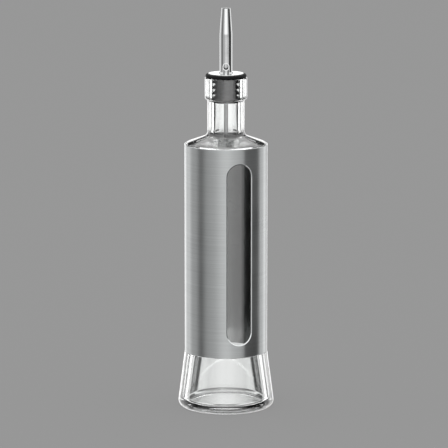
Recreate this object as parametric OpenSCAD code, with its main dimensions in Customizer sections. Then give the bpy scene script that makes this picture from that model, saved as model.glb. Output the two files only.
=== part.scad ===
// Oil and vinegar bottle: a thick clear glass bottle with a flared foot, a brushed steel sleeve with
// a long viewing window slipped over its body, and a pourer whose ribbed rubber stopper carries a
// chromed cover disc, an upright pouring spout and a small air vent. Millimetres. The centre of the
// base stands at the origin, +Z is up, and the vent faces -Y.

/* [Glass foot] */
// Widest diameter of the flared foot
base_d = 72.5; // [66:0.5:90]
// Radius of the heel where the foot turns under
heel_r = 4.4; // [2:0.2:6]
// Height of the foot, up to the ledge that carries the sleeve
foot_h = 42.7; // [30:0.1:60]
// Thickness of the glass floor
floor_t = 4.8; // [3.6:0.1:10]
// Thickness of the foot's wall at the floor
foot_wall_t = 6.2; // [4:0.1:8]
// Radius of the corner between floor and wall, inside
floor_corner_r = 2.5; // [1:0.1:5]
// Diameter of the hollow under the base
punt_d = 50; // [36:1:56]
// Depth of the hollow under the base
punt_depth = 1.2; // [0.6:0.1:3]

/* [Glass body and shoulder] */
// Thickness of the glass wall behind the sleeve
body_wall_t = 5.6; // [3:0.1:8]
// Slope of the shoulder, in degrees
shoulder_slope = 20; // [12:1:35]
// Height of the shoulder's edge above the sleeve's top rim
shoulder_lift = 0.8; // [0:0.1:3]
// Thickness of the glass in the shoulder, measured upright
shoulder_t = 5.6; // [4:0.1:8]
// Rounding of the shoulder's edge
shoulder_edge_r = 2.2; // [1:0.1:3]
// Hollow rounding between shoulder and neck
neck_root_r = 4.5; // [2:0.1:8]

/* [Glass neck and finish] */
// Height of the mouth above the base
mouth_h = 252.1; // [235:0.1:280]
// Outer diameter of the neck
neck_d = 28; // [26:0.1:34]
// Bore of the neck
bore_d = 18; // [17:0.1:22]
// Outer diameter of the ring round the mouth
finish_d = 31.8; // [30:0.1:38]
// Height of the ring round the mouth
finish_h = 16.4; // [10:0.1:24]
// Rounding of the ring's lower edge
finish_edge_r = 1.4; // [0.5:0.1:2]
// Rounding of the lip of the mouth
lip_r = 0.6; // [0.3:0.1:1]
// How far the mouth is wider than the neck's bore, on the radius
seat_step = 1.6; // [1:0.1:2.5]

/* [Steel sleeve] */
// Outer diameter of the sleeve
sleeve_d = 62.7; // [56:0.1:72]
// Thickness of the sheet
sleeve_t = 0.8; // [0.5:0.05:1.2]
// Length of the sleeve
sleeve_h = 159.1; // [130:0.1:180]
// Clearance between sleeve and glass, on the radius
sleeve_gap = 0.3; // [0.2:0.05:0.5]
// Width of the viewing window
window_w = 19.6; // [12:0.1:28]
// Distance from the sleeve's lower rim to the window
window_foot = 10; // [6:0.1:30]
// Distance from the window to the sleeve's upper rim
window_head = 11.6; // [6:0.1:30]
// Turn of the window from the front, towards +X, in degrees
window_turn = 19.5; // [0:0.5:90]

/* [Rubber stopper] */
// Diameter of the flange that lies on the mouth
flange_d = 30.8; // [28:0.1:36]
// Thickness of the flange
flange_t = 2.6; // [2:0.1:4]
// Rounding of the flange's edge
flange_edge_r = 1; // [0.5:0.1:1.2]
// Number of sealing ribs
rib_count = 4; // [3:1:5]
// Distance from rib to rib
rib_pitch = 4.25; // [3.4:0.05:5.2]
// Depth of the first rib's edge below the flange
rib_drop = 2.9; // [2.6:0.1:4]
// Thickness of a rib at its edge
rib_edge_t = 0.4; // [0.3:0.05:0.8]
// Slope of a rib's upper side, in degrees
rib_slope = 40; // [20:1:50]
// Length of the nose that reaches into the neck's bore
nose_l = 2.3; // [1.5:0.1:5]
// Clearance of the ribs in the mouth, on the radius
rib_clear = 0.05; // [0.02:0.01:0.1]
// Least rubber round the two tubes
core_skin = 0.82; // [0.6:0.01:2]

/* [Cover disc] */
// Diameter of the disc
disc_d = 26.4; // [22:0.1:30]
// Thickness of the disc
disc_t = 0.7; // [0.5:0.05:1.2]

/* [Pouring spout] */
// Outer diameter of the spout's straight part
spout_d = 9.5; // [8:0.1:11]
// Wall of the spout
spout_t = 0.5; // [0.4:0.05:0.8]
// Height of the straight part above the disc
spout_straight_h = 28.8; // [20:0.1:40]
// Height of the tapered part
spout_taper_h = 19.8; // [10:0.1:30]
// Outer diameter at the tip
spout_tip_d = 6.8; // [6:0.1:8]

/* [Air vent] */
// Outer diameter of the hood that stands on the disc
hood_d = 5.2; // [4.6:0.1:6]
// Wall of the hood
hood_t = 0.6; // [0.4:0.05:0.8]
// Height of the hood at its back
hood_h = 7.8; // [6.6:0.1:12]
// Slant of the hood's open mouth, in degrees from level
hood_slant = 45; // [20:1:50]
// Outer diameter of the air tube through the stopper
air_d = 3; // [2.4:0.1:3.4]
// Wall of the air tube
air_t = 0.4; // [0.3:0.05:0.6]
// Length of the air tube below the stopper
air_dip = 29; // [5:0.5:60]

/* [Hidden] */
$fn = 144;

// Clearance of a tube in its hole, on the radius
tube_fit = 0.05;
// Overrun of every cut past the face that it opens
over = 1;

// Glass: radii and heights that follow from the sizes above
base_r = base_d / 2;
ledge_r = sleeve_d / 2;
body_r = ledge_r - sleeve_t - sleeve_gap;
body_in_r = body_r - body_wall_t;
neck_r = neck_d / 2;
bore_r = bore_d / 2;
mouth_r = bore_r + seat_step;
finish_r = finish_d / 2;
punt_r = punt_d / 2;
// Slope run and roundings of the hollow under the base
punt_run = 4 * punt_depth;
punt_edge_r = 2.5 * punt_depth;
// Small roundings at the ledge, less than the sleeve's clearance
ledge_edge_r = 0.8 * sleeve_gap;
// Roundings inside the glass
foot_root_r = 3 * floor_corner_r;
shoulder_in_r = shoulder_t;
neck_in_r = neck_root_r;
// Rounding where the finish ring grows out of the neck
finish_root_r = finish_edge_r / 2;

// The foot's flank is the line from the ledge's edge that touches the heel's circle
ledge = [ledge_r, foot_h];
heel = [base_r - heel_r, heel_r];
heel_turn = atan2(ledge[1] - heel[1], ledge[0] - heel[0]) - acos(heel_r / norm(ledge - heel));
heel_touch = heel + heel_r * [cos(heel_turn), sin(heel_turn)];
flank_run = (ledge[0] - heel_touch[0]) / (ledge[1] - heel_touch[1]);
flank_foot_r = ledge[0] - flank_run * ledge[1];
floor_r = ledge[0] - flank_run * (foot_h - floor_t) - foot_wall_t;

sleeve_top = foot_h + sleeve_h;
shoulder_z = sleeve_top + shoulder_lift;
neck_root_z = shoulder_z + (body_r - neck_r) * tan(shoulder_slope);
shoulder_in_z = shoulder_z + (body_r - body_in_r) * tan(shoulder_slope) - shoulder_t;
neck_in_z = shoulder_in_z + (body_in_r - bore_r) * tan(shoulder_slope);
finish_z = mouth_h - finish_h;

// Rubber stopper: the mouth is bored wide just past the last rib, and the nose goes on into the neck
rib_r = mouth_r - rib_clear;
nose_clear = 2 * rib_clear;
nose_r = bore_r - nose_clear;
last_rib_z = mouth_h - rib_drop - (rib_count - 1) * rib_pitch;
seat_z = last_rib_z - rib_edge_t - rib_edge_t;
bore_top_z = seat_z - seat_step;
plug_z = bore_top_z - nose_l + seat_step;
flange_r = flange_d / 2;
flange_top = mouth_h + flange_t;

// Pourer: spout and vent stand side by side on the stopper's middle line
spout_r = spout_d / 2;
hood_r = hood_d / 2;
air_r = air_d / 2;
pair_half = spout_r + hood_r + tube_fit;
core_r = pair_half + core_skin;
spout_y = pair_half - spout_r;
vent_y = hood_r - pair_half;
disc_r = disc_d / 2;
disc_top = flange_top + disc_t;
spout_hole_r = spout_r + tube_fit;
air_hole_r = air_r + tube_fit;
taper_z = disc_top + spout_straight_h;
tip_z = taper_z + spout_taper_h;
tip_r = spout_tip_d / 2;
// Radius of the soft bend between the straight part and the taper
taper_bend_r = 6 * spout_r;
// Smallest rounding of a sheet's cut edge, as a share of its thickness
edge_share = 0.35;
// Solder round the spout on the disc: its hollow rounding, and as shares of that the height of the
// rounding's centre above the disc and the width of the ring at its top
spout_solder_r = 2 * spout_t;
solder_sink_share = 0.9;
solder_lip_share = 0.3;

// An outline is a list of [radius, height, rounding], walked with the material on its left.
// The piece between a rounded corner and its arc is cut off where the corner stands out, and
// filled in where the corner is hollow, so every rounding is a true arc.
function unit(v) = v / norm(v);
function at(o, i) = [o[(i + len(o)) % len(o)][0], o[(i + len(o)) % len(o)][1]];
function turn(o, i) =
    let (a = unit(at(o, i) - at(o, i - 1)), b = unit(at(o, i + 1) - at(o, i)))
    atan2(cross(a, b), a * b);
function reach(o, i) = o[i][2] * tan(abs(turn(o, i)) / 2);
function arc_start(o, i) = at(o, i) - unit(at(o, i) - at(o, i - 1)) * reach(o, i);
function arc_end(o, i) = at(o, i) + unit(at(o, i + 1) - at(o, i)) * reach(o, i);
function inward(o, i) = unit(unit(at(o, i - 1) - at(o, i)) + unit(at(o, i + 1) - at(o, i)));
function centre(o, i) = at(o, i) + inward(o, i) * o[i][2] / cos(turn(o, i) / 2);
function beyond(o, i) = at(o, i) - inward(o, i) * min(over, o[i][2]) / 2;

module corner_pieces(o, side) {
    for (i = [0 : len(o) - 1])
        if (o[i][2] > 0 && side * turn(o, i) > 0)
            difference() {
                polygon([arc_start(o, i), centre(o, i), arc_end(o, i), beyond(o, i)]);
                translate(centre(o, i))
                    circle(r = o[i][2]);
            }
}

module outline(o) {
    difference() {
        union() {
            polygon([for (i = [0 : len(o) - 1]) at(o, i)]);
            corner_pieces(o, -1);
        }
        corner_pieces(o, 1);
    }
}

module turned(o) {
    rotate_extrude()
        outline(o);
}

// One piece of glass: foot with its heel and hollow, ledge, body, shoulder, neck and finish ring,
// then back down the inside
module glass_bottle() {
    color("lightcyan", 0.4)
        turned([
            [0, punt_depth, 0],
            [punt_r - punt_run, punt_depth, punt_edge_r],
            [punt_r, 0, punt_edge_r],
            [flank_foot_r, 0, heel_r],
            [ledge_r, foot_h, ledge_edge_r],
            [body_r, foot_h, ledge_edge_r],
            [body_r, shoulder_z, shoulder_edge_r],
            [neck_r, neck_root_z, neck_root_r],
            [neck_r, finish_z, finish_root_r],
            [finish_r, finish_z, finish_edge_r],
            [finish_r, mouth_h, lip_r],
            [mouth_r, mouth_h, lip_r],
            [mouth_r, seat_z, 0],
            [bore_r, bore_top_z, 0],
            [bore_r, neck_in_z, neck_in_r],
            [body_in_r, shoulder_in_z, shoulder_in_r],
            [body_in_r, foot_h, foot_root_r],
            [floor_r, floor_t, floor_corner_r],
            [0, floor_t, 0]
        ]);
}

// The window's outline, upright, with half-round ends
module window_outline() {
    window_r = window_w / 2;
    low = foot_h + window_foot + window_r;
    high = sleeve_top - window_head - window_r;
    translate([-window_r, low])
        square([window_w, high - low]);
    for (z = [low, high])
        translate([0, z])
            circle(r = window_r);
}

// Rolled steel tube that stands on the ledge, open at both ends, with its window
module steel_sleeve() {
    edge = edge_share * sleeve_t;
    inner = ledge_r - sleeve_t;
    color("silver")
        difference() {
            turned([
                [inner, foot_h, 0],
                [ledge_r, foot_h, edge],
                [ledge_r, sleeve_top, edge],
                [inner, sleeve_top, edge]
            ]);
            rotate([0, 0, window_turn])
                rotate([90, 0, 0])
                    linear_extrude(ledge_r + over)
                        window_outline();
        }
}

// Places what is turned about the spout's or the vent's own axis
module on_spout() {
    translate([0, spout_y, 0])
        children();
}

module on_vent() {
    translate([0, vent_y, 0])
        children();
}

// Outline of one sealing rib: flat below, sloping down to its edge above
function rib(z) = [
    [core_r, z - rib_edge_t],
    [rib_r, z - rib_edge_t],
    [rib_r, z],
    [core_r, z + (rib_r - core_r) * tan(rib_slope)]
];

module rubber_stopper() {
    nose_edge = nose_l / 3;
    color("#2b2b2d")
        difference() {
            rotate_extrude() {
                outline([
                    [0, plug_z, 0],
                    [nose_r, plug_z, nose_edge],
                    [nose_r, plug_z + nose_l - nose_edge, 0],
                    [core_r, plug_z + nose_l, 0],
                    [core_r, mouth_h, 0],
                    [flange_r, mouth_h, flange_edge_r],
                    [flange_r, flange_top, flange_edge_r],
                    [0, flange_top, 0]
                ]);
                for (i = [0 : rib_count - 1])
                    polygon(rib(mouth_h - rib_drop - i * rib_pitch));
            }
            on_spout()
                translate([0, 0, plug_z - over])
                    cylinder(r = spout_hole_r, h = flange_top - plug_z + over + over);
            on_vent()
                translate([0, 0, plug_z - over])
                    cylinder(r = air_hole_r, h = flange_top - plug_z + over + over);
        }
}

// Ring of solder from the disc's top up to the tube in a hole of radius r, hollow outside
module solder_ring(r, size) {
    sunk = solder_sink_share * size;
    lip = solder_lip_share * size;
    rotate_extrude()
        difference() {
            translate([r - over, disc_top - disc_t / 2])
                square([over + lip + sunk, sunk + disc_t / 2]);
            translate([r + lip + sunk, disc_top + sunk])
                circle(r = size);
        }
}

module cover_disc() {
    edge = edge_share * disc_t;
    color("gainsboro")
        difference() {
            union() {
                turned([
                    [0, flange_top, 0],
                    [disc_r, flange_top, edge],
                    [disc_r, disc_top, edge],
                    [0, disc_top, 0]
                ]);
                on_spout()
                    solder_ring(spout_hole_r, spout_solder_r);
            }
            on_spout()
                translate([0, 0, flange_top - over])
                    cylinder(r = spout_hole_r, h = disc_t + spout_solder_r + over + over);
            on_vent()
                translate([0, 0, flange_top - over])
                    cylinder(r = air_hole_r, h = disc_t + over + over);
            on_vent()
                translate([0, 0, disc_top])
                    cylinder(r = hood_r + tube_fit, h = spout_solder_r + over);
        }
}

// Spout: straight from the stopper's nose, then tapered to a tip that is cut level
module spout_tube() {
    color("gainsboro")
        on_spout()
            turned([
                [spout_r - spout_t, plug_z, 0],
                [spout_r, plug_z, 0],
                [spout_r, taper_z, taper_bend_r],
                [tip_r, tip_z, edge_share * spout_t],
                [tip_r - spout_t, tip_z, edge_share * spout_t],
                [spout_r - spout_t, taper_z, taper_bend_r - spout_t]
            ]);
}

// Air vent: a slanted hood on the disc, drawn down to the air tube that runs through the stopper
module vent_tube() {
    color("gainsboro")
        on_vent()
            difference() {
                turned([
                    [air_r - air_t, plug_z - air_dip, 0],
                    [air_r, plug_z - air_dip, 0],
                    [air_r, disc_top, 0],
                    [hood_r, disc_top, 0],
                    [hood_r, disc_top + hood_h + over, 0],
                    [hood_r - hood_t, disc_top + hood_h + over, 0],
                    [hood_r - hood_t, disc_top + hood_t, hood_t],
                    [air_r - air_t, disc_top + hood_t, 0]
                ]);
                translate([-hood_d, hood_r, disc_top + hood_h])
                    rotate([hood_slant, 0, 0])
                        translate([0, -hood_h * 4, 0])
                            cube([hood_d * 2, hood_h * 6, hood_h * 2]);
            }
}

glass_bottle();
steel_sleeve();
rubber_stopper();
cover_disc();
spout_tube();
vent_tube();
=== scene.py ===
"""Oil and vinegar bottle: finished glass, steel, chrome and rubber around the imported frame."""

import math

import bpy
import numpy as np
from bpy.props import FloatProperty, FloatVectorProperty, IntProperty, PointerProperty
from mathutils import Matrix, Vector


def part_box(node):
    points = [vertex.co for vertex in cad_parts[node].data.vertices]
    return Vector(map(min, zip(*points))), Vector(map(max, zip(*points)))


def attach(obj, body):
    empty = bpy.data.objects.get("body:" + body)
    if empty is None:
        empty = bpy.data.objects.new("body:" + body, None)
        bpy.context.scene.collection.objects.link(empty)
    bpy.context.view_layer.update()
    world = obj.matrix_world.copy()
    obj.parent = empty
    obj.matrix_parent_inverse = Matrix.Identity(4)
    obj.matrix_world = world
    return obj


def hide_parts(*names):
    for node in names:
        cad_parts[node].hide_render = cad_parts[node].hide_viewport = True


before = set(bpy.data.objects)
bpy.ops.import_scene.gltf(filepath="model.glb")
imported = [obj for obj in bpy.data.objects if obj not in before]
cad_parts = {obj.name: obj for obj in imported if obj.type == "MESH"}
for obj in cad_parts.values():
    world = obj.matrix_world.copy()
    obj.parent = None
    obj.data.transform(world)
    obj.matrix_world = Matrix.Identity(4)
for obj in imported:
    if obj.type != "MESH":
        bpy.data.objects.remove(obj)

bl_info = {
    "name": "Oil and Vinegar Bottle",
    "version": (1, 0, 0),
    "blender": (4, 5, 0),
    "location": "View3D > Sidebar > Bottle",
    "description": "Builds a glass oil bottle with a steel sleeve and a chromed pourer",
    "category": "Add Mesh",
}

MM = 0.001
TAU = 2 * math.pi
# Points whose coordinates round to the same tenth of a micron are welded
WELD = 0.0001 * MM

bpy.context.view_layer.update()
GLASS_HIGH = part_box("glass_bottle")[1]
SLEEVE_LOW, SLEEVE_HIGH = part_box("steel_sleeve")
# Height at which the neck's bore begins, under the stopper's seat
BORE_TOP = GLASS_HIGH.z - 18 * MM


def length(name, description, default_mm):
    """A size in metres, given here in millimetres."""
    return FloatProperty(name=name, description=description, default=default_mm * MM, unit="LENGTH")


def angle(name, description, default_degrees):
    """An angle in radians, given here in degrees."""
    default = math.radians(default_degrees)
    return FloatProperty(name=name, description=description, default=default, unit="ROTATION")


def colour(name, description, default):
    """A linear colour."""
    return FloatVectorProperty(name=name, description=description, default=default, size=3, subtype="COLOR")


class BottleGlassSettings(bpy.types.PropertyGroup):
    """Sizes and tint of the glass bottle that its box doesn't give."""

    heel_r: length("Heel radius", "Rounding where the foot turns under", 4.4)
    floor_t: length("Floor", "Thickness of the glass floor", 4.8)
    foot_wall_t: length("Foot wall", "Thickness of the foot's wall at the floor", 6.2)
    floor_corner_r: length("Floor corner", "Rounding between floor and wall, inside", 2.5)
    punt_r: length("Hollow radius", "Radius of the hollow under the base", 25)
    punt_depth: length("Hollow depth", "Depth of the hollow under the base", 1.2)
    body_wall_t: length("Body wall", "Thickness of the wall behind the sleeve", 5.6)
    sleeve_gap: length("Sleeve gap", "Clearance between sleeve and glass", 0.3)
    shoulder_slope: angle("Shoulder slope", "Slope of the shoulder", 20)
    shoulder_lift: length("Shoulder lift", "Height of the shoulder's edge above the sleeve", 0.8)
    shoulder_t: length("Shoulder glass", "Upright thickness of the shoulder", 5.6)
    shoulder_edge_r: length("Shoulder edge", "Rounding of the shoulder's edge", 2.2)
    neck_root_r: length("Neck root", "Hollow rounding between shoulder and neck", 4.5)
    neck_r: length("Neck radius", "Outer radius of the neck", 14)
    bore_r: length("Bore radius", "Radius of the neck's bore", 9)
    finish_r: length("Ring radius", "Radius of the ring round the mouth", 15.9)
    finish_h: length("Ring height", "Height of the ring round the mouth", 16.4)
    finish_edge_r: length("Ring edge", "Rounding of the ring's lower edge", 1.4)
    lip_r: length("Lip", "Rounding of the lip of the mouth", 0.6)
    seat_step: length("Seat step", "How far the mouth is wider than the bore", 1.6)
    seat_depth: length("Seat depth", "Depth of the wide part of the mouth", 16.45)
    tint: colour("Tint", "Colour of the glass", (0.985, 0.995, 0.99))


class BottleSleeveSettings(bpy.types.PropertyGroup):
    """Sizes and colour of the steel sleeve."""

    sheet_t: length("Sheet", "Thickness of the sleeve's sheet", 0.8)
    edge_r: length("Edge", "Rounding of the rims' edges", 0.28)
    window_bevel: length("Window bevel", "Bevel of the window's outer edge", 0.7)
    window_w: length("Window width", "Width of the window inside its bevel", 19.0)
    window_foot: length("Window foot", "From the lower rim to the window", 10)
    window_head: length("Window head", "From the window to the upper rim", 11.6)
    window_turn: angle("Window turn", "Turn of the window from the front, towards +X", 19.5)
    steel: colour("Steel", "Colour of the brushed steel", (0.525, 0.54, 0.54))


class BottlePourerSettings(bpy.types.PropertyGroup):
    """Colours of the pourer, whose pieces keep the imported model's shapes."""

    chrome: colour("Chrome", "Colour of the polished metal", (0.77, 0.78, 0.78))
    rubber: colour("Rubber", "Colour of the rubber", (0.008, 0.008, 0.0085))


class BottleStageSettings(bpy.types.PropertyGroup):
    """Camera, floor and light."""

    camera_back: FloatProperty(name="Distance", description="Camera's distance", default=2.3, unit="LENGTH")
    camera_up: FloatProperty(name="Height", description="Camera's height", default=0.560, unit="LENGTH")
    aim_x: length("Aim across", "Where the camera aims across", -1.5)
    aim_z: length("Aim height", "Height at which the camera aims", 140.2)
    lens: FloatProperty(name="Lens", description="Focal length in millimetres", default=248.1, unit="CAMERA")
    backdrop: FloatProperty(name="Backdrop", description="Grey of floor and backdrop", default=0.3185,
                            min=0, max=1, subtype="FACTOR")
    turn_steps: IntProperty(name="Steps", description="Steps in a full turn of a round piece", default=256)


def unit(v):
    """The vector divided by its length, row by row."""
    return v / np.linalg.norm(v, axis=-1, keepdims=True)


def rounded_outline(corners, steps=10):
    """Points and outward normals of an outline in the (radius, height) half-plane.

    Each corner is (radius, height, rounding), walked with the material on the left. The first and the
    last corner lie on the axis and stay sharp. Each other becomes an arc: its centre lies on the corner's
    bisector, at the rounding divided by the cosine of half the turn, and the arc is sampled at equal steps
    of the turn. The normal of an arc point runs along its radius, away from the centre where the corner
    stands out and towards it where the corner is hollow.
    """
    corners = np.array(corners, float)
    points, normals = [corners[:1, :2]], [[[0.0, -1.0]]]
    for i in range(1, len(corners) - 1):
        here, rounding = corners[i, :2], corners[i, 2]
        before = unit(here - corners[i - 1, :2])
        after = unit(corners[i + 1, :2] - here)
        turn = math.atan2(before[0] * after[1] - before[1] * after[0], before @ after)
        start = math.atan2(-before[0], before[1])
        angles = start + turn * np.linspace(0, 1, steps + 1)
        outward = np.stack([np.cos(angles), np.sin(angles)], 1)
        side = math.copysign(1, turn)
        centre = here + unit(after - before) * rounding / math.cos(turn / 2)
        points.append(centre + side * rounding * outward)
        normals.append(outward)
    points.append(corners[-1:, :2])
    normals.append([[0.0, 1.0]])
    return np.concatenate(points), np.concatenate(normals)


def ring_quads(rows, columns):
    """Corner numbers of the quads of a grid of points whose last row joins its first, as one array."""
    down, across = np.broadcast_arrays(np.arange(rows)[:, None], np.arange(columns - 1)[None, :])
    here, below = down * columns + across, (down + 1) % rows * columns + across
    return np.stack([here, below, below + 1, here + 1], -1).reshape(-1, 4)


def build_piece(name, patches, material, inside):
    """One closed mesh from patches of (points, normals, quads), welded where their points meet.

    Points with the same rounded coordinates become one, whose normal is the mean of theirs. A quad with
    two corners in one point becomes a triangle, which closes seams and poles, and one with fewer than
    three corners left goes. The marks in inside become a point attribute.
    """
    points = np.concatenate([p.reshape(-1, 3) for p, _, _ in patches])
    normals = np.concatenate([n.reshape(-1, 3) for _, n, _ in patches])
    starts = np.cumsum([0] + [p.size // 3 for p, _, _ in patches])
    quads = np.concatenate([q + start for (_, _, q), start in zip(patches, starts)])
    keys = np.round(points / WELD).astype(np.int64)
    _, first, inverse = np.unique(keys, axis=0, return_index=True, return_inverse=True)
    inverse = inverse.reshape(-1)
    quads = inverse[quads]
    summed = np.zeros((len(first), 3))
    np.add.at(summed, inverse, normals)
    never_zero = 1e-12
    summed = unit(summed + never_zero)
    same = quads == np.roll(quads, -1, axis=1)
    whole = quads[~same.any(1)]
    pinched = same.sum(1) == 1
    triangles = quads[pinched][~same[pinched]].reshape(-1, 3)
    mesh = bpy.data.meshes.new(name)
    mesh.from_pydata(points[first].tolist(), [], whole.tolist() + triangles.tolist())
    mesh.validate()
    mesh.shade_smooth()
    mesh.normals_split_custom_set_from_vertices(summed.tolist())
    mesh.update()
    marks = mesh.attributes.new("inside", "FLOAT", "POINT")
    marks.data.foreach_set("value", inside.reshape(-1)[first].astype(np.float32))
    piece = bpy.data.objects.new(name, mesh)
    bpy.context.scene.collection.objects.link(piece)
    mesh.materials.append(material)
    return piece


def turned_patch(outline, outward, steps):
    """A surface of revolution: the point at turn a and outline point (r, z) is (r cos a, r sin a, z)."""
    turn = np.arange(steps)[:, None] * TAU / steps
    ring = np.stack([np.cos(turn), np.sin(turn)], -1)

    def carried(profile):
        """Pairs of a radius and a height, taken to every turn."""
        upright = np.broadcast_to(profile[None, :, 1:], (steps, len(profile), 1))
        return np.concatenate([ring * profile[None, :, :1], upright], -1)

    return carried(outline), carried(outward), ring_quads(steps, len(outline))


def new_material(name):
    """A material with its nodes, its Principled shader and the object's own coordinates."""
    material = bpy.data.materials.new(name)
    material.use_nodes = True
    nodes, links = material.node_tree.nodes, material.node_tree.links
    coordinates = nodes.new("ShaderNodeTexCoord")
    return material, nodes, links, nodes["Principled BSDF"], coordinates.outputs["Object"]


def height_of(nodes, links, place):
    """The height of a point on the object's own coordinates."""
    split = nodes.new("ShaderNodeSeparateXYZ")
    links.new(place, split.inputs[0])
    return split.outputs["Z"]


def inside_mark(nodes):
    """The value of the attribute inside."""
    mark = nodes.new("ShaderNodeAttribute")
    mark.attribute_name = "inside"
    return mark.outputs["Fac"]


def noise(nodes, links, vector, scale, stretch=(1, 1, 1), detail=3):
    """Noise on the object's own coordinates, with scale times stretch cells to the metre on each axis."""
    mapping = nodes.new("ShaderNodeMapping")
    mapping.inputs["Scale"].default_value = stretch
    texture = nodes.new("ShaderNodeTexNoise")
    texture.inputs["Scale"].default_value = scale
    texture.inputs["Detail"].default_value = detail
    links.new(vector, mapping.inputs["Vector"])
    links.new(mapping.outputs["Vector"], texture.inputs["Vector"])
    return texture.outputs["Fac"]


def spread(nodes, links, value, low, high, start=0.3, end=0.7):
    """Maps start..end to low..high. The defaults fit noise, which seldom leaves 0.3 to 0.7."""
    remap = nodes.new("ShaderNodeMapRange")
    remap.inputs["From Min"].default_value = start
    remap.inputs["From Max"].default_value = end
    remap.inputs["To Min"].default_value = low
    remap.inputs["To Max"].default_value = high
    links.new(value, remap.inputs["Value"])
    return remap.outputs["Result"]


def ease(nodes, links, value, none, full):
    """0 at none, 1 at full and straight between, whichever of the two is the higher."""
    return spread(nodes, links, value, 0, 1, none, full)


def maths(nodes, links, operation, *terms):
    """A sum, product or other operation on values, each a number or a socket."""
    node = nodes.new("ShaderNodeMath")
    node.operation = operation
    for term, socket in zip(terms, node.inputs):
        if isinstance(term, (int, float)):
            socket.default_value = term
        else:
            links.new(term, socket)
    return node.outputs[0]


def product(nodes, links, first, *others):
    """Values multiplied together."""
    for other in others:
        first = maths(nodes, links, "MULTIPLY", first, other)
    return first


def paint(links, socket, tone):
    """Gives a socket its colour, which is three numbers or another socket."""
    if isinstance(tone, bpy.types.NodeSocket):
        links.new(tone, socket)
    else:
        socket.default_value = (*tone, 1)


def colour_mix(nodes, links, share, below, over, way="MIX"):
    """A colour blended towards another by a share, each of the two three numbers or a socket."""
    mix = nodes.new("ShaderNodeMix")
    mix.data_type = "RGBA"
    mix.blend_type = way
    links.new(share, mix.inputs["Factor"])
    for name, tone in (("A", below), ("B", over)):
        paint(links, mix.inputs[name], tone)
    return mix.outputs["Result"]


def shade_between(nodes, links, value, dark, light):
    """A colour between two, by noise."""
    return colour_mix(nodes, links, spread(nodes, links, value, 0, 1), dark, light)


def bump(nodes, links, height, distance):
    """A bump of the given height in metres."""
    node = nodes.new("ShaderNodeBump")
    node.inputs["Strength"].default_value = 1
    node.inputs["Distance"].default_value = distance
    links.new(height, node.inputs["Height"])
    return node.outputs["Normal"]


def scaled(tone, factor):
    """A colour times a factor."""
    return tuple(c * factor for c in tone)


def grey(level):
    """The grey of a brightness."""
    return (level, level, level)


def clear_glass(tint):
    """Thick clear glass with a slow ripple, whose inner wall has painted shade where it is seen edge on.

    The attribute inside is 1 on the inner wall, whose colour the painted shade turns nearly black. Along the
    neck a share is added to how far the wall turns away, which widens the painted shade there. It grows over
    20 mm above the sleeve and ends under the stopper.
    """
    material, nodes, links, shader, place = new_material("clear_glass")
    for name, value in (("Transmission Weight", 1), ("IOR", 1.52), ("Roughness", 0),
                        ("Coat Weight", 1), ("Coat IOR", 1.6), ("Coat Roughness", 0)):
        shader.inputs[name].default_value = value
    ripple = noise(nodes, links, place, 60, detail=1)
    clear = shade_between(nodes, links, ripple, scaled(tint, 0.985), tint)
    facing = nodes.new("ShaderNodeLayerWeight")
    facing.inputs["Blend"].default_value = 0.5
    height = height_of(nodes, links, place)

    # Facing runs from 0, face on, to 1, edge on
    dark_starts, dark_is_full, neck_share = 0.62, 0.86, 0.27
    over_shoulder = spread(nodes, links, height, 0, neck_share, SLEEVE_HIGH.z, SLEEVE_HIGH.z + 20 * MM)
    under_stopper = ease(nodes, links, height, BORE_TOP, BORE_TOP - 3 * MM)
    turned_away = maths(nodes, links, "ADD", facing.outputs["Facing"],
                        product(nodes, links, over_shoulder, under_stopper))
    edge_on = ease(nodes, links, turned_away, dark_starts, dark_is_full)
    share = product(nodes, links, edge_on, inside_mark(nodes))
    # Painted shade: the inner wall's colour goes nearly black where it turns edge on, more so along the neck
    links.new(colour_mix(nodes, links, share, clear, grey(0.02)), shader.inputs["Base Color"])
    links.new(bump(nodes, links, ripple, 0.02 * MM), shader.inputs["Normal"])
    return material


def brushed_steel(steel):
    """Steel brushed round the tube: fine lines that run level, in tone, roughness and bump.

    The attribute inside is 1 on the inner face, which is rougher and has painted shade, and -1 on the cut
    edges, which have a painted highlight.
    """
    material, nodes, links, shader, place = new_material("brushed_steel")
    shader.inputs["Metallic"].default_value = 1
    fine = noise(nodes, links, place, 1, (40, 40, 9000), detail=2)
    coarse = noise(nodes, links, place, 1, (12, 12, 1500), detail=3)
    cloud = noise(nodes, links, place, 30, detail=2)
    brushed = shade_between(nodes, links, coarse, scaled(steel, 0.93), scaled(steel, 1.05))
    mark = inside_mark(nodes)
    cut, inner_shade = ease(nodes, links, mark, 0, -1), ease(nodes, links, mark, 0, 1)
    # Painted highlight: the cut edges' colour is brightened to 1.6 times the steel's
    edged = colour_mix(nodes, links, cut, brushed, scaled(steel, 1.6))
    # Painted shade: the inner face's colour is darkened to half the steel's
    links.new(colour_mix(nodes, links, inner_shade, edged, scaled(steel, 0.5)), shader.inputs["Base Color"])
    # Rougher inside by 0.25, smoother on the cut edges by as much, and with no grain inside
    roughness = maths(nodes, links, "MULTIPLY_ADD", mark, 0.25, spread(nodes, links, cloud, 0.27, 0.33))
    links.new(roughness, shader.inputs["Roughness"])
    links.new(spread(nodes, links, mark, 0.85, 0, 0, 1), shader.inputs["Anisotropic"])
    links.new(bump(nodes, links, fine, 0.002 * MM), shader.inputs["Normal"])
    shader.inputs["Anisotropic Rotation"].default_value = 0.25
    tangent = nodes.new("ShaderNodeTangent")
    tangent.direction_type = "RADIAL"
    tangent.axis = "Z"
    links.new(tangent.outputs["Tangent"], shader.inputs["Tangent"])
    return material


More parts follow.
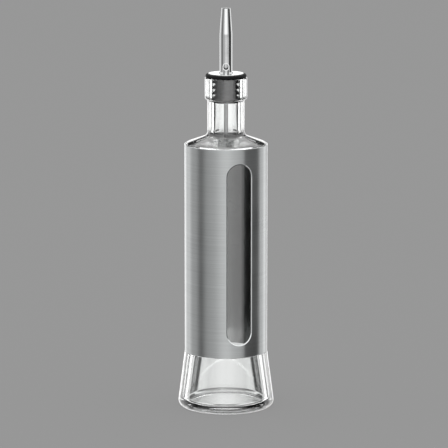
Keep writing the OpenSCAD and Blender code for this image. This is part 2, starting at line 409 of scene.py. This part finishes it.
def polished_chrome(chrome):
    """Polished chrome with a faint haze, with painted shade on the tubes below the stopper's seat."""
    material, nodes, links, shader, place = new_material("polished_chrome")
    shader.inputs["Metallic"].default_value = 1
    haze = noise(nodes, links, place, 180, detail=4)
    bright = shade_between(nodes, links, haze, scaled(chrome, 0.96), chrome)
    neck_shade = ease(nodes, links, height_of(nodes, links, place), BORE_TOP, BORE_TOP - 2 * MM)
    # Painted shade: below the stopper's seat the chrome's colour drops to 0.35 of itself
    links.new(colour_mix(nodes, links, neck_shade, bright, scaled(chrome, 0.35)), shader.inputs["Base Color"])
    links.new(spread(nodes, links, haze, 0.05, 0.11), shader.inputs["Roughness"])
    links.new(bump(nodes, links, haze, 0.003 * MM), shader.inputs["Normal"])
    return material


def black_rubber(rubber):
    """Moulded black rubber with a fine grain."""
    material, nodes, links, shader, place = new_material("black_rubber")
    shader.inputs["Specular IOR Level"].default_value = 0.12
    grain = noise(nodes, links, place, 2500, detail=2)
    cloud = noise(nodes, links, place, 150, detail=3)
    tone = shade_between(nodes, links, cloud, scaled(rubber, 0.8), scaled(rubber, 1.25))
    links.new(tone, shader.inputs["Base Color"])
    links.new(spread(nodes, links, cloud, 0.5, 0.62), shader.inputs["Roughness"])
    links.new(bump(nodes, links, grain, 0.02 * MM), shader.inputs["Normal"])
    return material


def glass_corners(glass, sheet_t):
    """The bottle's outline: foot, ledge, body, shoulder, neck, ring, and back down the inside."""
    base_r, ledge_r = GLASS_HIGH.x, SLEEVE_HIGH.x
    foot_h, mouth_h = SLEEVE_LOW.z, GLASS_HIGH.z
    body_r = ledge_r - sheet_t - glass.sleeve_gap
    body_in_r = body_r - glass.body_wall_t
    slope = math.tan(glass.shoulder_slope)
    mouth_r = glass.bore_r + glass.seat_step

    # The foot's flank is the line from the ledge's edge that touches the heel's circle
    heel_r = glass.heel_r
    across, up = ledge_r - (base_r - heel_r), foot_h - heel_r
    turn = math.atan2(up, across) - math.acos(heel_r / math.hypot(across, up))
    touch_r, touch_z = base_r - heel_r + heel_r * math.cos(turn), heel_r + heel_r * math.sin(turn)
    flank = (ledge_r - touch_r) / (foot_h - touch_z)
    floor_r = ledge_r - flank * (foot_h - glass.floor_t) - glass.foot_wall_t

    shoulder_z = SLEEVE_HIGH.z + glass.shoulder_lift
    shoulder_in_z = shoulder_z + (body_r - body_in_r) * slope - glass.shoulder_t
    finish_z = mouth_h - glass.finish_h
    seat_z = mouth_h - glass.seat_depth

    # Sizes that follow from others: how far the hollow's side slopes in, and roundings
    punt_run = 4 * glass.punt_depth
    punt_edge_r = 2.5 * glass.punt_depth
    ledge_edge_r = 0.8 * glass.sleeve_gap
    finish_root_r = 0.5 * glass.finish_edge_r
    seat_edge_r = 0.25 * glass.lip_r
    foot_root_r = 3 * glass.floor_corner_r
    return [
        (0, glass.punt_depth, 0),
        (glass.punt_r - punt_run, glass.punt_depth, punt_edge_r),
        (glass.punt_r, 0, punt_edge_r),
        (ledge_r - flank * foot_h, 0, heel_r),
        (ledge_r, foot_h, ledge_edge_r),
        (body_r, foot_h, ledge_edge_r),
        (body_r, shoulder_z, glass.shoulder_edge_r),
        (glass.neck_r, shoulder_z + (body_r - glass.neck_r) * slope, glass.neck_root_r),
        (glass.neck_r, finish_z, finish_root_r),
        (glass.finish_r, finish_z, glass.finish_edge_r),
        (glass.finish_r, mouth_h, glass.lip_r),
        (mouth_r, mouth_h, glass.lip_r),
        (mouth_r, seat_z, seat_edge_r),
        (glass.bore_r, seat_z - glass.seat_step, seat_edge_r),
        (glass.bore_r, shoulder_in_z + (body_in_r - glass.bore_r) * slope, glass.neck_root_r),
        (body_in_r, shoulder_in_z, glass.shoulder_t),
        (body_in_r, foot_h, foot_root_r),
        (floor_r, glass.floor_t, glass.floor_corner_r),
        (0, glass.floor_t, 0),
    ]


class BOTTLE_OT_glass(bpy.types.Operator):
    """Build the glass bottle"""

    bl_idname = "bottle.glass"
    bl_label = "Glass Bottle"

    def execute(self, context):
        scene = context.scene
        steps = scene.bottle_stage.turn_steps
        outline, outward = rounded_outline(glass_corners(scene.bottle_glass, scene.bottle_sleeve.sheet_t))
        patch = turned_patch(outline, outward, steps)

        # What follows the first point at the mouth's full height on the outline is the inner wall
        lip = np.argmax(outline[:, 1] > GLASS_HIGH.z - 0.01 * MM)
        inside = np.broadcast_to(np.arange(len(outline)) > lip, (steps, len(outline)))
        piece = build_piece("thick_glass_bottle", [patch], clear_glass(scene.bottle_glass.tint), inside)
        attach(piece, "bottle")
        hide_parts("glass_bottle")
        return {"FINISHED"}


# Steps round each end of the window, along each of its sides, from it to where the unrolled sleeve ends,
# and round each small edge
END_STEPS = 128
SIDE_STEPS = 48
FACE_STEPS = 48
EDGE_STEPS = 6


def up_and_down(low, high):
    """Heights of a loop of points: level, up one side, level again and down the other side."""
    side = np.linspace(0, 1, SIDE_STEPS + 1)[1:-1]
    level = np.ones(END_STEPS + 1)
    return np.concatenate([low * level, low + side * (high - low), high * level, high - side * (high - low)])


def window_loop(sleeve, offset):
    """The window's outline moved out by offset: across, height, and the unit vector away from its middle.

    Its ends are half circles of the window's half width plus the offset, and straight sides join them.
    It runs from the left, round the lower end, up the right side, round the upper end and down.
    """
    half = sleeve.window_w / 2
    low = SLEEVE_LOW.z + sleeve.window_foot + half
    high = SLEEVE_HIGH.z - sleeve.window_head - half
    half_turn = math.pi * np.linspace(0, 1, END_STEPS + 1)
    right, left = np.zeros(SIDE_STEPS - 1), np.full(SIDE_STEPS - 1, math.pi)
    directions = np.concatenate([math.pi + half_turn, right, half_turn, left])
    away = np.stack([np.cos(directions), np.sin(directions)], 1)
    return away[:, 0] * (half + offset), up_and_down(low, high) + away[:, 1] * (half + offset), away


def on_sleeve(turn, azimuth, height, radius):
    """Points on a cylinder round the axis, at azimuths counted from the window's middle.

    With the window's turn added to the azimuth, x is the radius times its sine and y is minus the radius
    times its cosine.
    """
    around = azimuth + turn
    return np.stack([radius * np.sin(around), -radius * np.cos(around), height + 0 * around], -1)


def face_patch(sleeve, radius, side_out, cut_back, lower_cut, upper_cut):
    """The sleeve's outer face, or its inner one with side_out at -1, less what its edges cut back.

    Each point is the straight blend, in azimuth and height, from one of the window's outline to one of
    the unrolled tube's outline, whose sides at half a turn either way meet behind.
    """
    behind = math.pi * np.linspace(-1, 1, END_STEPS + 1)
    left, right = np.full(SIDE_STEPS - 1, -math.pi), np.full(SIDE_STEPS - 1, math.pi)
    full_azimuth = np.concatenate([behind, right, behind[::-1], left])[:, None]
    full_height = up_and_down(SLEEVE_LOW.z + lower_cut, SLEEVE_HIGH.z - upper_cut)[:, None]
    across, height, _ = window_loop(sleeve, cut_back)
    blend = np.linspace(0, 1, FACE_STEPS + 1)[None, :]
    azimuth = np.arcsin(across / radius)[:, None] * (1 - blend) + full_azimuth * blend
    z = height[:, None] * (1 - blend) + full_height * blend
    points = on_sleeve(sleeve.window_turn, azimuth, z, radius)
    normals = side_out * on_sleeve(sleeve.window_turn, azimuth, 0 * z, 1.0)
    quads = ring_quads(*azimuth.shape)
    return points, normals, quads if side_out < 0 else quads[:, ::-1]


def lining_patch(sleeve, outer_r, inner_r, inner_edge_r):
    """The window's lining: a bevel outside, softened where it starts and ends, and a rounding inside.

    Each column of points is the window's outline moved out by its inset, on its own radius. The normal
    leans by an angle from the way to the window's middle, which is 0, towards the radius outward.
    """
    turn, bevel = sleeve.window_turn, sleeve.window_bevel
    bend = np.linspace(0, math.pi / 2, EDGE_STEPS + 1)
    slant = np.array([0, 0.08, 0.2, 0.8, 0.92, 1])
    lean = np.concatenate([math.pi / 2 * np.array([1, 0.75, 0.5, 0.5, 0.25, 0]), -bend])[:, None]
    radius = np.concatenate([outer_r - bevel * slant, inner_r + inner_edge_r - inner_edge_r * np.sin(bend)])
    inset = np.concatenate([bevel - bevel * slant, inner_edge_r - inner_edge_r * np.cos(bend)])
    loops = [window_loop(sleeve, offset) for offset in inset]
    azimuth = np.arcsin(np.stack([across for across, _, _ in loops], 1) / radius)
    z = np.stack([height for _, height, _ in loops], 1)
    away = loops[0][2][:, None, :]
    sideways, upward = np.array([math.cos(turn), math.sin(turn), 0]), np.array([0, 0, 1.0])
    to_middle = -(away[..., :1] * sideways + away[..., 1:] * upward)
    normals = np.cos(lean) * to_middle + np.sin(lean) * on_sleeve(turn, azimuth, 0 * z, 1.0)
    return on_sleeve(turn, azimuth, z, radius), unit(normals), ring_quads(*azimuth.shape)


def rim_patch(turn, profile, outward):
    """A rim: a (radius, height) profile and its outward normals carried round the axis."""
    profile, outward = profile[None], outward[None]
    around = math.pi * np.linspace(-1, 1, END_STEPS + 1)[:-1, None] + 0 * profile[..., 0]
    points = on_sleeve(turn, around, profile[..., 1], profile[..., 0])
    flat = on_sleeve(turn, around, 0 * profile[..., 1], 1.0)
    normals = flat * outward[..., :1] + np.array([0, 0, 1.0]) * outward[..., 1:]
    return points, normals, ring_quads(*around.shape)


def sleeve_patches(sleeve):
    """The sleeve: two faces, the window's lining, and two rims, the lower one square inside on the ledge."""
    outer_r, inner_r = SLEEVE_HIGH.x, SLEEVE_HIGH.x - sleeve.sheet_t
    low, high, edge = SLEEVE_LOW.z, SLEEVE_HIGH.z, sleeve.edge_r
    inner_edge_r = 0.8 * (sleeve.sheet_t - sleeve.window_bevel)
    bend = np.linspace(0, math.pi / 2, EDGE_STEPS + 1)
    cosine, sine = np.cos(bend), np.sin(bend)
    lower_out = np.stack([sine, -cosine], 1)
    lower = np.array([outer_r - edge, low + edge]) + edge * lower_out
    upper_out = np.stack([np.append(cosine, -sine), np.append(sine, cosine)], 1)
    middles = np.repeat([[outer_r - edge, high - edge], [inner_r + edge, high - edge]], len(bend), axis=0)
    return [
        face_patch(sleeve, outer_r, 1, sleeve.window_bevel, edge, edge),
        face_patch(sleeve, inner_r, -1, inner_edge_r, 0, edge),
        lining_patch(sleeve, outer_r, inner_r, inner_edge_r),
        rim_patch(sleeve.window_turn, np.vstack([(inner_r, low), lower]), np.vstack([(0, -1), lower_out])),
        rim_patch(sleeve.window_turn, middles + edge * upper_out, upper_out),
    ]


class BOTTLE_OT_sleeve(bpy.types.Operator):
    """Build the brushed steel sleeve with its window"""

    bl_idname = "bottle.sleeve"
    bl_label = "Steel Sleeve"

    def execute(self, context):
        sleeve = context.scene.bottle_sleeve
        patches = sleeve_patches(sleeve)

        # A point's depth in the sheet marks it: 1 on the inner face, 0 on the outer, -1 on the cut between
        reach = np.concatenate([np.hypot(p[..., 0], p[..., 1]).reshape(-1) for p, _, _ in patches])
        cut_outer, cut_inner = SLEEVE_HIGH.x - 0.03 * sleeve.sheet_t, SLEEVE_HIGH.x - 0.9 * sleeve.sheet_t
        inside = np.where(reach < cut_inner, 1.0, np.where(reach < cut_outer, -1.0, 0.0))
        piece = build_piece("brushed_sleeve", patches, brushed_steel(sleeve.steel), inside)
        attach(piece, "sleeve")
        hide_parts("steel_sleeve")
        return {"FINISHED"}


class BOTTLE_OT_pourer(bpy.types.Operator):
    """Finish the pourer's disc, stopper, vent and spout"""

    bl_idname = "bottle.pourer"
    bl_label = "Pourer"

    def execute(self, context):
        pourer = context.scene.bottle_pourer
        chrome = polished_chrome(pourer.chrome)
        rubber = black_rubber(pourer.rubber)
        for node, material in (("cover_disc", chrome), ("rubber_stopper", rubber),
                               ("vent_tube", chrome), ("spout_tube", chrome)):
            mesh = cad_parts[node].data
            mesh.materials.clear()
            mesh.materials.append(material)
        return {"FINISHED"}


class BOTTLE_OT_stage(bpy.types.Operator):
    """Set up the floor, the light and the camera"""

    bl_idname = "bottle.stage"
    bl_label = "Stage"

    def execute(self, context):
        scene = context.scene
        stage = scene.bottle_stage
        add_floor(stage)
        add_world(scene, stage)
        add_camera(scene, stage)
        scene.view_settings.view_transform = "Standard"
        return {"FINISHED"}


def glow(nodes, links, kind, tone, strength=1.0):
    """An emission or a background of a colour, given as three numbers or a socket."""
    node = nodes.new(kind)
    node.inputs["Strength"].default_value = strength
    paint(links, node.inputs["Color"], tone)
    return node.outputs[0]


def matt(nodes, level):
    """A diffuse grey."""
    node = nodes.new("ShaderNodeBsdfDiffuse")
    node.inputs["Color"].default_value = (*grey(level), 1)
    return node.outputs[0]


def shader_mix(nodes, links, share, first, second):
    """A blend of two shaders."""
    mix = nodes.new("ShaderNodeMixShader")
    links.new(share, mix.inputs[0])
    links.new(first, mix.inputs[1])
    links.new(second, mix.inputs[2])
    return mix.outputs[0]


# Half the floor's width in metres, and its grey to all but the camera
FLOOR_REACH = 12.0
FLOOR_PALE = 0.7
# Share of the backdrop's grey that it gives off to the camera, and the grey that catches light and shadow
FLOOR_GLOW = 0.8
FLOOR_CATCH = 0.055


def add_floor(stage):
    """A plain floor that keeps the object's shadow and has the backdrop's grey.

    Mirror images and the glass don't show it: they show the studio in its place.
    """
    mesh = bpy.data.meshes.new("floor")
    corners = [(-FLOOR_REACH, -FLOOR_REACH, 0), (FLOOR_REACH, -FLOOR_REACH, 0),
               (FLOOR_REACH, FLOOR_REACH, 0), (-FLOOR_REACH, FLOOR_REACH, 0)]
    mesh.from_pydata(corners, [], [(0, 1, 2, 3)])
    floor = bpy.data.objects.new("floor", mesh)
    bpy.context.scene.collection.objects.link(floor)
    material = bpy.data.materials.new("pale_floor")
    material.use_nodes = True
    nodes, links = material.node_tree.nodes, material.node_tree.links
    nodes.clear()
    output = nodes.new("ShaderNodeOutputMaterial")
    path = nodes.new("ShaderNodeLightPath")
    seen = nodes.new("ShaderNodeAddShader")
    lit = glow(nodes, links, "ShaderNodeEmission", grey(1), FLOOR_GLOW * stage.backdrop)
    links.new(lit, seen.inputs[0])
    links.new(matt(nodes, FLOOR_CATCH), seen.inputs[1])
    pale = matt(nodes, FLOOR_PALE)
    chosen = shader_mix(nodes, links, path.outputs["Is Camera Ray"], pale, seen.outputs[0])
    links.new(chosen, output.inputs["Surface"])
    mesh.materials.append(material)
    floor.visible_glossy = False
    floor.visible_transmission = False


# The studio is a brightness for each direction. Bands are (degrees of azimuth, brightness), with straight
# lines between. A height is the sine of the angle above the horizon. A soft edge is (none, full).

# What metal and the glass's surface reflect, by azimuth from the front towards +X
STUDIO_BANDS = (
    (-180, 1.5), (-160, 1.4), (-150, 1.3), (-142, 0.9), (-132, 0.85), (-125, 1.05), (-118, 0.8),
    (-110, 0.5), (-92, 0.48), (-84, 0.24), (-74, 0.06), (-66, 0.22), (-56, 0.42), (-30, 0.46), (-8, 0.72),
    (6, 0.74), (18, 0.55), (40, 0.5), (50, 0.45), (54, 0.06), (100, 0.03), (106, 0.3), (112, 0.9),
    (122, 0.65), (132, 1.3), (142, 1.3), (152, 0.4), (162, 1.3), (180, 1.5),
)
# A white panel in front from the horizon up, and white high up all round
PANEL_LEVEL, PANEL_SIDES, PANEL_FOOT = 1.35, (48, 12), (-0.06, 0.0)
CEILING_LEVEL, CEILING_FOOT = 1.1, (0.1, 0.35)
# A strip of its own bands below the horizon in front, which upright walls show to the camera
STRIP_BANDS = ((-60, 0.5), (-30, 0.6), (0, 1.15), (15, 1.15), (30, 1.0), (60, 0.95))
STRIP_SIDES, STRIP_FOOT, STRIP_TOP = (54.5, 51.5), (-0.225, -0.215), (-0.128, -0.134)
# A dark flag behind, above the horizon
FLAG_LEVEL, FLAG_SIDES, FLAG_FOOT, FLAG_TOP = 0.06, (130, 140), (0.19, 0.22), (0.5, 0.42)

# What the glass shows behind it, by azimuth from straight behind towards +X: from HIGH_FOOT up
HIGH_BACK_BANDS = (
    (-90, 0.03), (-68, 0.03), (-64, 1.5), (-44, 1.3), (-40, 0.05), (-35.5, 0.1), (-31, 1.1), (-20, 1.2),
    (0, 1.03), (20, 1.2), (31, 1.1), (35.5, 0.1), (40, 0.05), (44, 1.3), (64, 1.5), (68, 0.03), (90, 0.03),
)
HIGH_FOOT = (-0.156, -0.147)
# Below that, down to DEEP_TOP
LOW_BACK_BANDS = (
    (-90, 0.1), (-58, 0.1), (-50, 1.6), (-31, 1.5), (-28, 0.5), (-24, 0.04), (-21, 0.02), (-18, 0.04),
    (-15.7, 0.2), (-14.5, 0.2), (-13, 0.03), (-11.2, 0.06), (-9.8, 1.0), (-7, 0.98), (-5, 0.8), (0, 0.64),
    (5, 0.8), (7, 0.98), (10.2, 1.0), (11.6, 0.05), (13.6, 0.01), (15.2, 0.2), (16.4, 0.2), (18, 0.01),
    (25, 0.01), (28, 0.2), (31, 1.5), (50, 1.6), (58, 0.08), (90, 0.08),
)
# Further down still, and a plain grey for what is seen steeply down
DEEP_BACK_BANDS = (
    (-90, 0.1), (-60, 0.12), (-50, 1.3), (-9, 1.3), (-6, 0.12), (6, 0.12), (9, 1.3), (50, 1.3), (60, 0.1),
    (90, 0.05),
)
DEEP_TOP = (-0.34, -0.40)
GROUND_LEVEL, GROUND_TOP = 0.3, (-0.72, -0.80)
# A shade over all of these above the horizon, as (height, brightness), which in the middle starts lower
RISING_BANDS = ((0, 0.05), (0.15, 0.05), (0.185, 0.8), (0.23, 0.8), (0.25, 1.0), (0.28, 1.0), (0.30, 0.05))
RISING_FOOT = (-0.02, 0.02)
MIDDLE_SIDES, MIDDLE_FOOT = (33, 28), (-0.125, -0.105)
# White high up, over the shade too
SKY_LEVEL, SKY_FOOT = 2.2, (0.5, 0.6)
# Y of a direction, from the back to the front, where the glass shows what metal reflects
FRONT_EDGE = (0.1, -0.1)


def band_ramp(nodes, links, value, low, high, bands):
    """A ramp of brightness over low..high of a value, from pairs of a value and a brightness."""
    ramp = nodes.new("ShaderNodeValToRGB")
    links.new(spread(nodes, links, value, 0, 1, low, high), ramp.inputs["Fac"])
    elements = ramp.color_ramp.elements
    elements.remove(elements[1])
    for i, (mark, level) in enumerate(bands):
        place = (mark - low) / (high - low)
        element = elements[0] if i == 0 else elements.new(place)
        element.position = place
        element.color = (*grey(level), 1)
    return ramp.outputs["Color"]


def azimuth_of(nodes, links, across, ahead):
    """The azimuth in degrees of a direction, from ahead towards across."""
    return maths(nodes, links, "DEGREES", maths(nodes, links, "ARCTAN2", across, ahead))


def studio_part(nodes, links, azimuth, z, sides, *edges):
    """The share of one part of the studio: soft edges in azimuth to either side, and in height."""
    aside = maths(nodes, links, "ABSOLUTE", azimuth)
    shares = [ease(nodes, links, aside, *sides)] + [ease(nodes, links, z, *edge) for edge in edges]
    return product(nodes, links, *shares)


def studio_around(nodes, links, azimuth, z):
    """What metal and the glass's surface reflect: the bands, then panel, ceiling, strip and flag."""
    tone = band_ramp(nodes, links, azimuth, -180, 180, STUDIO_BANDS)
    panel = studio_part(nodes, links, azimuth, z, PANEL_SIDES, PANEL_FOOT)
    tone = colour_mix(nodes, links, panel, tone, grey(PANEL_LEVEL))
    tone = colour_mix(nodes, links, ease(nodes, links, z, *CEILING_FOOT), tone, grey(CEILING_LEVEL))
    strip = studio_part(nodes, links, azimuth, z, STRIP_SIDES, STRIP_FOOT, STRIP_TOP)
    tone = colour_mix(nodes, links, strip, tone, band_ramp(nodes, links, azimuth, -60, 60, STRIP_BANDS))
    flag = studio_part(nodes, links, azimuth, z, FLAG_SIDES, FLAG_FOOT, FLAG_TOP)
    return colour_mix(nodes, links, flag, tone, grey(FLAG_LEVEL))


def studio_behind(nodes, links, azimuth, z):
    """What the glass shows behind it: the bands one above another, and the rising shade over them."""
    low, high, deep = (band_ramp(nodes, links, azimuth, -90, 90, bands)
                       for bands in (LOW_BACK_BANDS, HIGH_BACK_BANDS, DEEP_BACK_BANDS))
    tone = colour_mix(nodes, links, ease(nodes, links, z, *HIGH_FOOT), low, high)
    tone = colour_mix(nodes, links, ease(nodes, links, z, *DEEP_TOP), tone, deep)
    tone = colour_mix(nodes, links, ease(nodes, links, z, *GROUND_TOP), tone, grey(GROUND_LEVEL))
    middle = studio_part(nodes, links, azimuth, z, MIDDLE_SIDES, MIDDLE_FOOT)
    share = maths(nodes, links, "MAXIMUM", middle, ease(nodes, links, z, *RISING_FOOT))
    return colour_mix(nodes, links, share, tone, band_ramp(nodes, links, z, 0, 1, RISING_BANDS), "MULTIPLY")


def add_world(scene, stage):
    """A studio of upright bands of light and shade, and a plain backdrop for the camera itself."""
    world = bpy.data.worlds.new("studio")
    scene.world = world
    world.use_nodes = True
    nodes, links = world.node_tree.nodes, world.node_tree.links
    nodes.clear()
    output = nodes.new("ShaderNodeOutputWorld")
    coordinates = nodes.new("ShaderNodeTexCoord")
    split = nodes.new("ShaderNodeSeparateXYZ")
    links.new(coordinates.outputs["Generated"], split.inputs[0])
    x, y, z = split.outputs
    forward = maths(nodes, links, "MULTIPLY", y, -1)
    around = studio_around(nodes, links, azimuth_of(nodes, links, x, forward), z)
    behind = studio_behind(nodes, links, azimuth_of(nodes, links, x, y), z)
    shown = colour_mix(nodes, links, ease(nodes, links, y, *FRONT_EDGE), behind, around)
    shown = colour_mix(nodes, links, ease(nodes, links, z, *SKY_FOOT), shown, grey(SKY_LEVEL))

    path = nodes.new("ShaderNodeLightPath")
    light = glow(nodes, links, "ShaderNodeBackground", around)
    through = glow(nodes, links, "ShaderNodeBackground", shown)
    backdrop = glow(nodes, links, "ShaderNodeBackground", grey(stage.backdrop))
    glassy = shader_mix(nodes, links, path.outputs["Is Transmission Ray"], light, through)
    chosen = shader_mix(nodes, links, path.outputs["Is Camera Ray"], glassy, backdrop)
    links.new(chosen, output.inputs["Surface"])


def add_camera(scene, stage):
    """A long lens in front of the object, a little above it, aimed at its middle."""
    data = bpy.data.cameras.new("camera")
    data.lens = stage.lens
    camera = bpy.data.objects.new("camera", data)
    scene.collection.objects.link(camera)
    camera.location = (stage.aim_x, -stage.camera_back, stage.camera_up)
    aim = Vector((stage.aim_x, 0, stage.aim_z)) - camera.location
    camera.rotation_euler = aim.to_track_quat("-Z", "Y").to_euler()
    scene.camera = camera


class BOTTLE_PT_panel(bpy.types.Panel):
    """Lists the steps in the order in which they run"""

    bl_idname = "BOTTLE_PT_panel"
    bl_label = "Oil and Vinegar Bottle"
    bl_space_type = "VIEW_3D"
    bl_region_type = "UI"
    bl_category = "Bottle"

    def draw(self, context):
        for step in STEPS:
            self.layout.operator(step.bl_idname)


SETTINGS = {
    "bottle_glass": BottleGlassSettings,
    "bottle_sleeve": BottleSleeveSettings,
    "bottle_pourer": BottlePourerSettings,
    "bottle_stage": BottleStageSettings,
}
STEPS = (BOTTLE_OT_stage, BOTTLE_OT_glass, BOTTLE_OT_sleeve, BOTTLE_OT_pourer)


def register():
    for kind in (*SETTINGS.values(), *STEPS, BOTTLE_PT_panel):
        bpy.utils.register_class(kind)
    for name, kind in SETTINGS.items():
        setattr(bpy.types.Scene, name, PointerProperty(type=kind))


def unregister():
    for name in SETTINGS:
        delattr(bpy.types.Scene, name)
    for kind in (BOTTLE_PT_panel, *reversed(STEPS), *reversed(list(SETTINGS.values()))):
        bpy.utils.unregister_class(kind)


def main():
    """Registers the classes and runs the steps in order."""
    register()
    bpy.ops.bottle.stage()
    bpy.ops.bottle.glass()
    bpy.ops.bottle.sleeve()
    bpy.ops.bottle.pourer()


if __name__ == "__main__":
    main()
